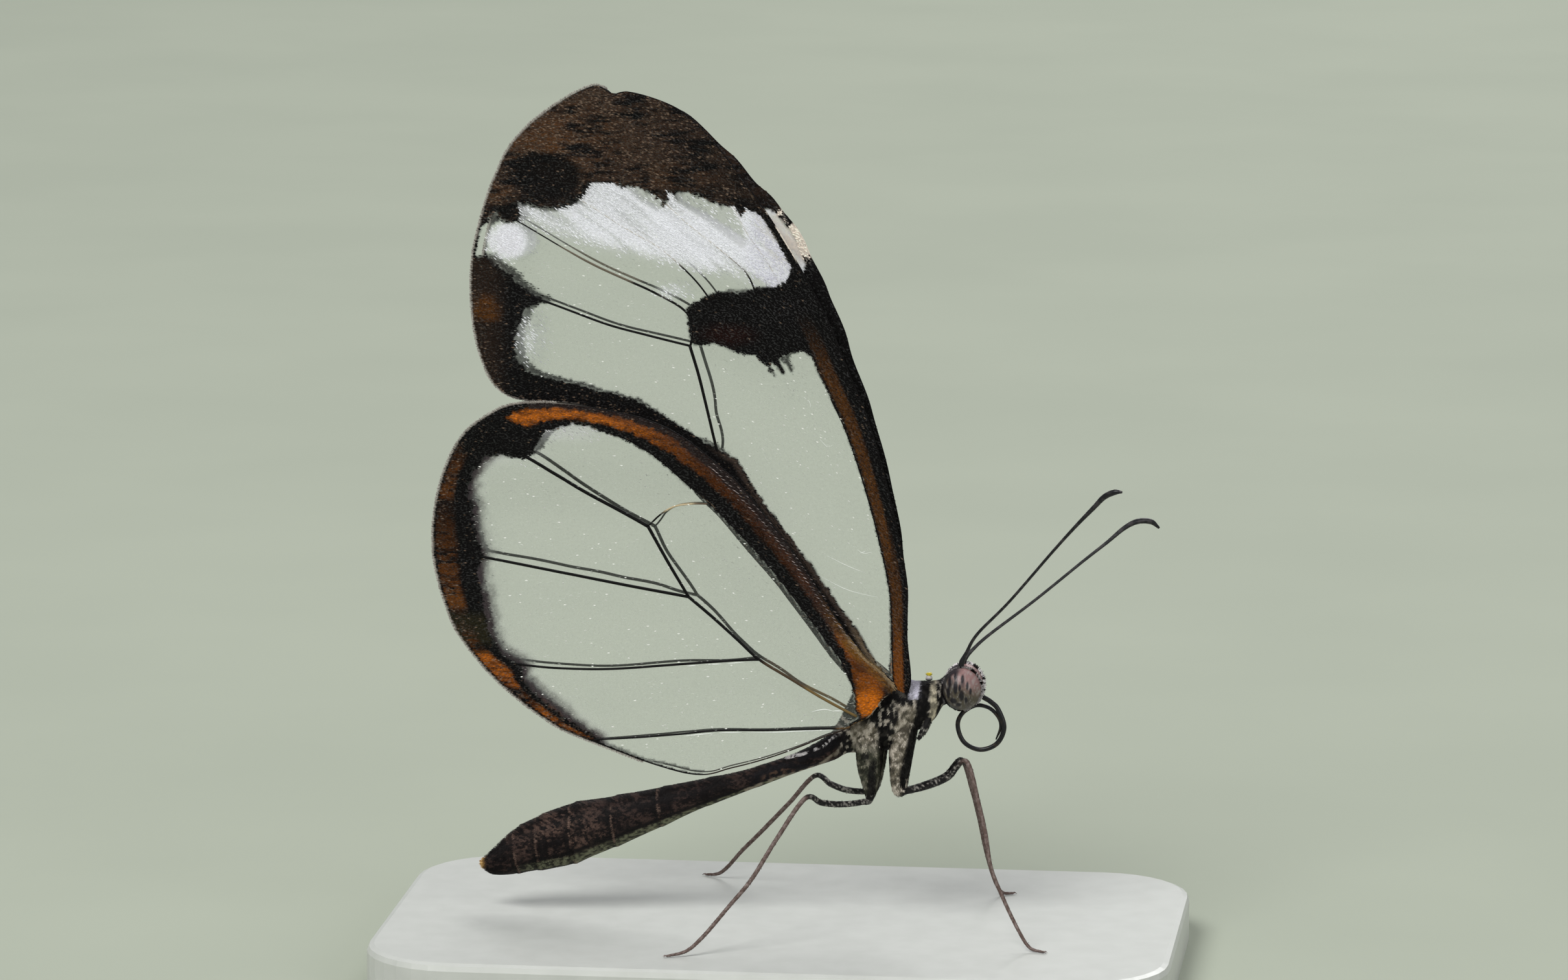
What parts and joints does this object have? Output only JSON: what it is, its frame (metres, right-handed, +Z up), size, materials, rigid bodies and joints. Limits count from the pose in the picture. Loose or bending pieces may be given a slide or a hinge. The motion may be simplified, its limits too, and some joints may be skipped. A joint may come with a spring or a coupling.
{
  "type": "glasswing butterfly",
  "caption": "Life-size still glasswing butterfly standing with closed see-through wings, coiled tongue and raised feelers, on a flat display base.",
  "frame": {"origin": "centre of the display base's underside, on the surface that it stands on", "axes": "+X the way the head points, +Z up along the closed wings, +Y out of the animal's left side"},
  "size_m": [0.034, 0.02, 0.0377],
  "materials": {
    "wing_membrane": "gloss",
    "body_scales": "matte",
    "abdomen_cuticle": "satin",
    "leg_cuticle": "satin",
    "antenna_cuticle": "satin",
    "eye_facets": "satin",
    "base_plate": "satin"
  },
  "bodies": {
    "root": {"abdomen_base": "abdomen_cuticle", "abdomen_middle": "abdomen_cuticle", "abdomen_rear": "abdomen_cuticle", "abdomen_tip": "abdomen_cuticle", "antenna_left_club": "antenna_cuticle", "antenna_left_shaft": "antenna_cuticle", "antenna_right_club": "antenna_cuticle", "antenna_right_shaft": "antenna_cuticle", "eye_left": "eye_facets", "eye_right": "eye_facets", "foreleg_left": "leg_cuticle", "foreleg_right": "leg_cuticle", "forewing_left": "wing_membrane", "forewing_right": "wing_membrane", "head": "body_scales", "hindleg_left_coxa": "leg_cuticle", "hindleg_left_femur": "leg_cuticle", "hindleg_left_tarsus": "leg_cuticle", "hindleg_left_tibia": "leg_cuticle", "hindleg_right_coxa": "leg_cuticle", "hindleg_right_femur": "leg_cuticle", "hindleg_right_tarsus": "leg_cuticle", "hindleg_right_tibia": "leg_cuticle", "hindwing_left": "wing_membrane", "hindwing_right": "wing_membrane", "midleg_left_coxa": "leg_cuticle", "midleg_left_femur": "leg_cuticle", "midleg_left_tarsus": "leg_cuticle", "midleg_left_tibia": "leg_cuticle", "midleg_right_coxa": "leg_cuticle", "midleg_right_femur": "leg_cuticle", "midleg_right_tarsus": "leg_cuticle", "midleg_right_tibia": "leg_cuticle", "palp_left": "body_scales", "palp_right": "body_scales", "proboscis_lower": "antenna_cuticle", "proboscis_upper": "antenna_cuticle", "prothorax": "body_scales", "stand_base": "base_plate", "thorax": "body_scales"}
  },
  "joints": []
}
